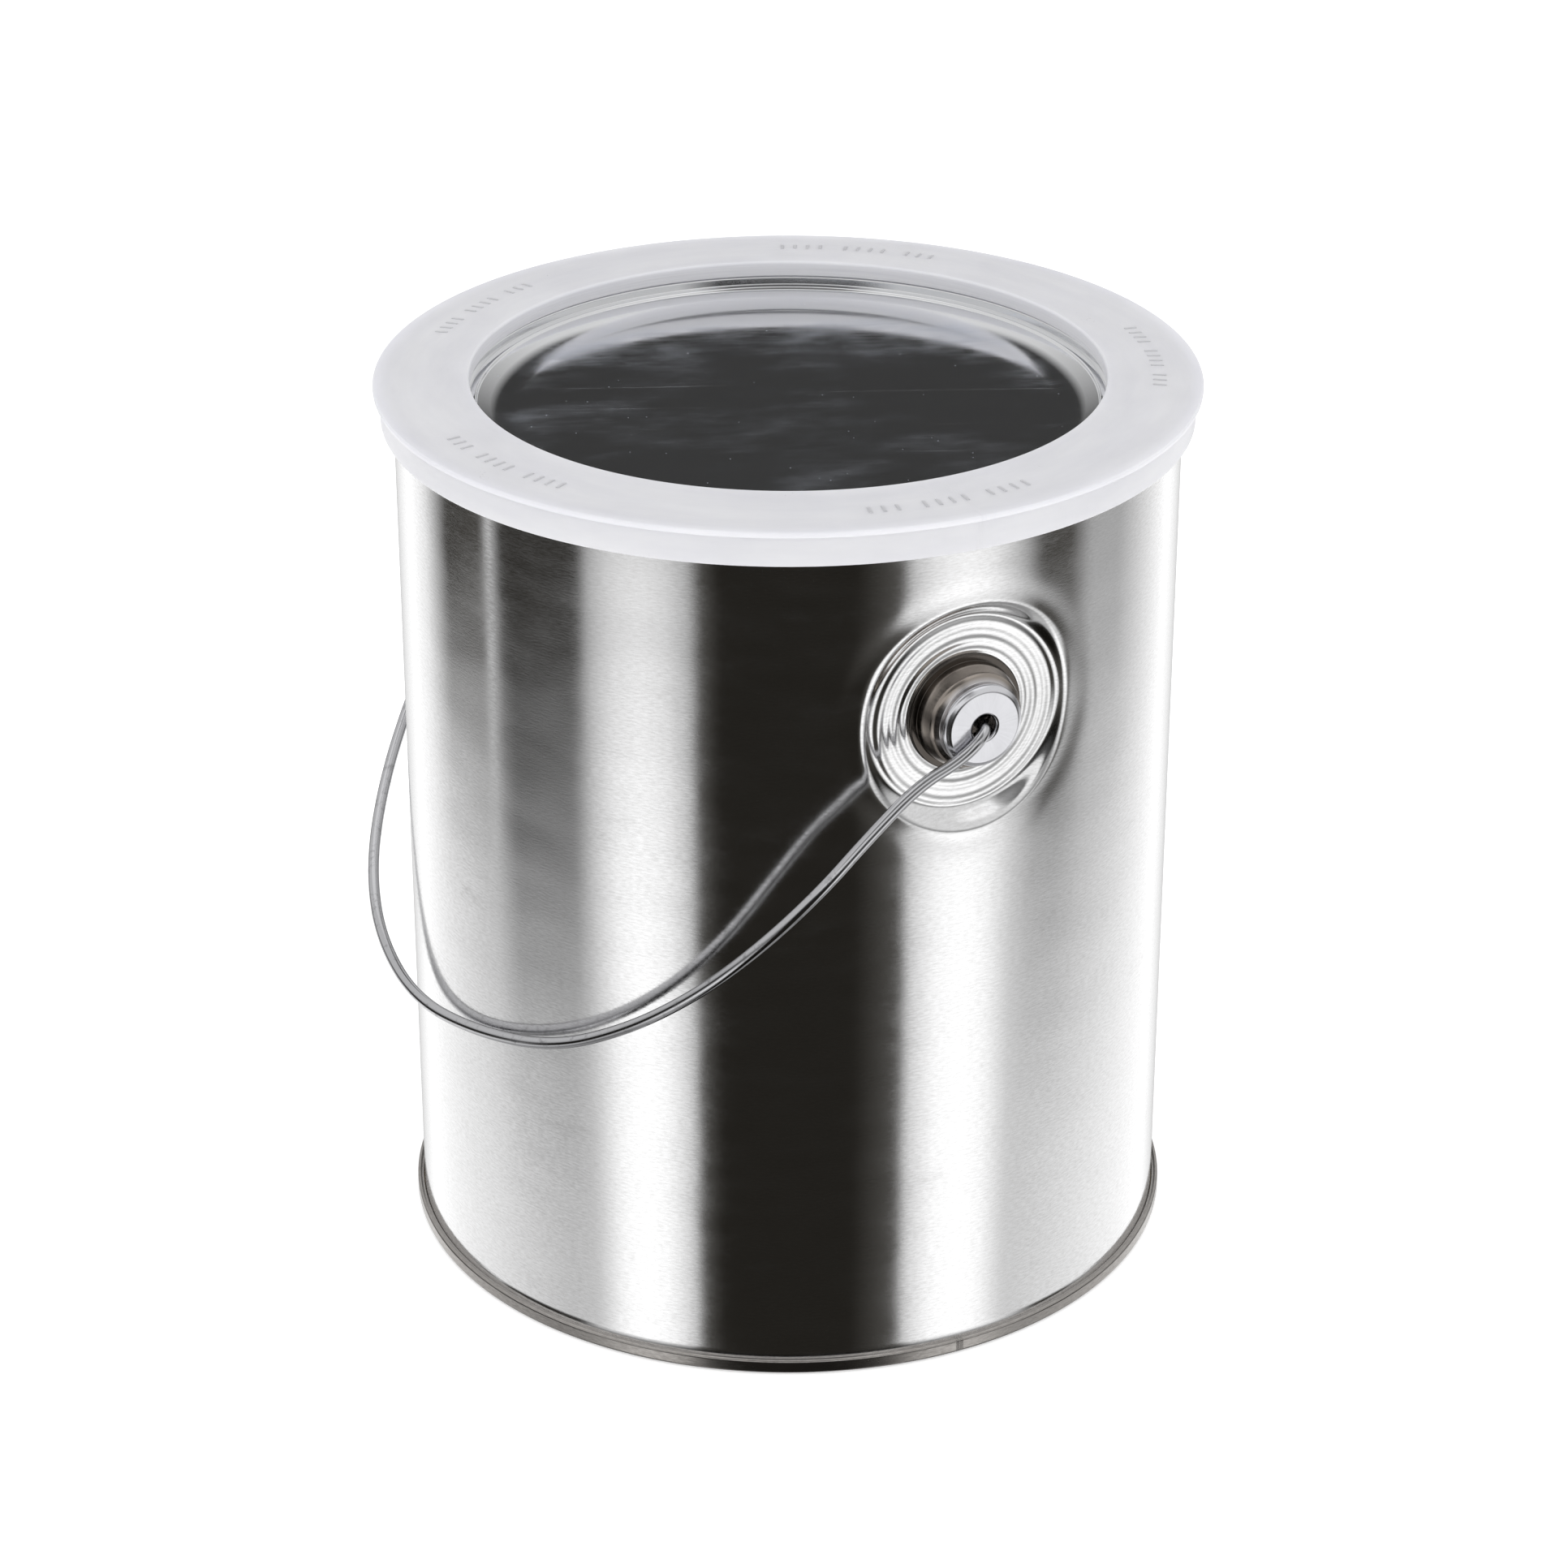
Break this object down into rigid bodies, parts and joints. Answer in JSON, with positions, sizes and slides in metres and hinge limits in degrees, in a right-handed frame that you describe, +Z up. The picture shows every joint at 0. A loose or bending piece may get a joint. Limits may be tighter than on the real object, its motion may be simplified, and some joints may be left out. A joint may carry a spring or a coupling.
{
  "type": "paint can",
  "caption": "Round tinplate can with seamed ends, a friction-plug lid under a plastic lock ring, and a wire bail hung from two welded ears.",
  "frame": {"origin": "centre of the circle the can stands on, at the bottom of the lower seam", "axes": "+Z up along the can's axis, +X through the right ear, the bail hangs on the -Y side"},
  "size_m": [0.1802, 0.1739, 0.1944],
  "materials": {
    "tinplate": "bright drawn tinplate, fine grain round the can",
    "lid_plate": "smooth tinplate with light scratches",
    "ear_steel": "drawn steel cup, slightly warm and satin",
    "bail_steel": "bright plated wire",
    "ring_plastic": "natural moulded polyethylene, slightly translucent",
    "compound": "cured sealing compound inside a seam"
  },
  "bodies": {
    "can": {"body_shell": "tinplate", "bottom_end": "tinplate", "top_ring": "tinplate", "bottom_seam_compound": "compound", "top_seam_compound": "compound", "ear_right": "ear_steel", "ear_left": "ear_steel"},
    "lid": {"lid": "lid_plate"},
    "lock_ring": {"lock_ring": "ring_plastic"},
    "bail": {"bail_wire": "bail_steel"}
  },
  "joints": [
    {"name": "bail_swing", "type": "hinge", "parent": "can", "child": "bail", "pos_m": [0, 0, 0.1485], "axis": [-1, 0, 0], "range_deg": [0, 270]},
    {"name": "lid_lift", "type": "slide", "parent": "can", "child": "lid", "axis": [0, 0, 1], "range_m": [0, 0.08]},
    {"name": "ring_lift", "type": "slide", "parent": "lid", "child": "lock_ring", "axis": [0, 0, 1], "range_m": [0, 0.06]}
  ]
}
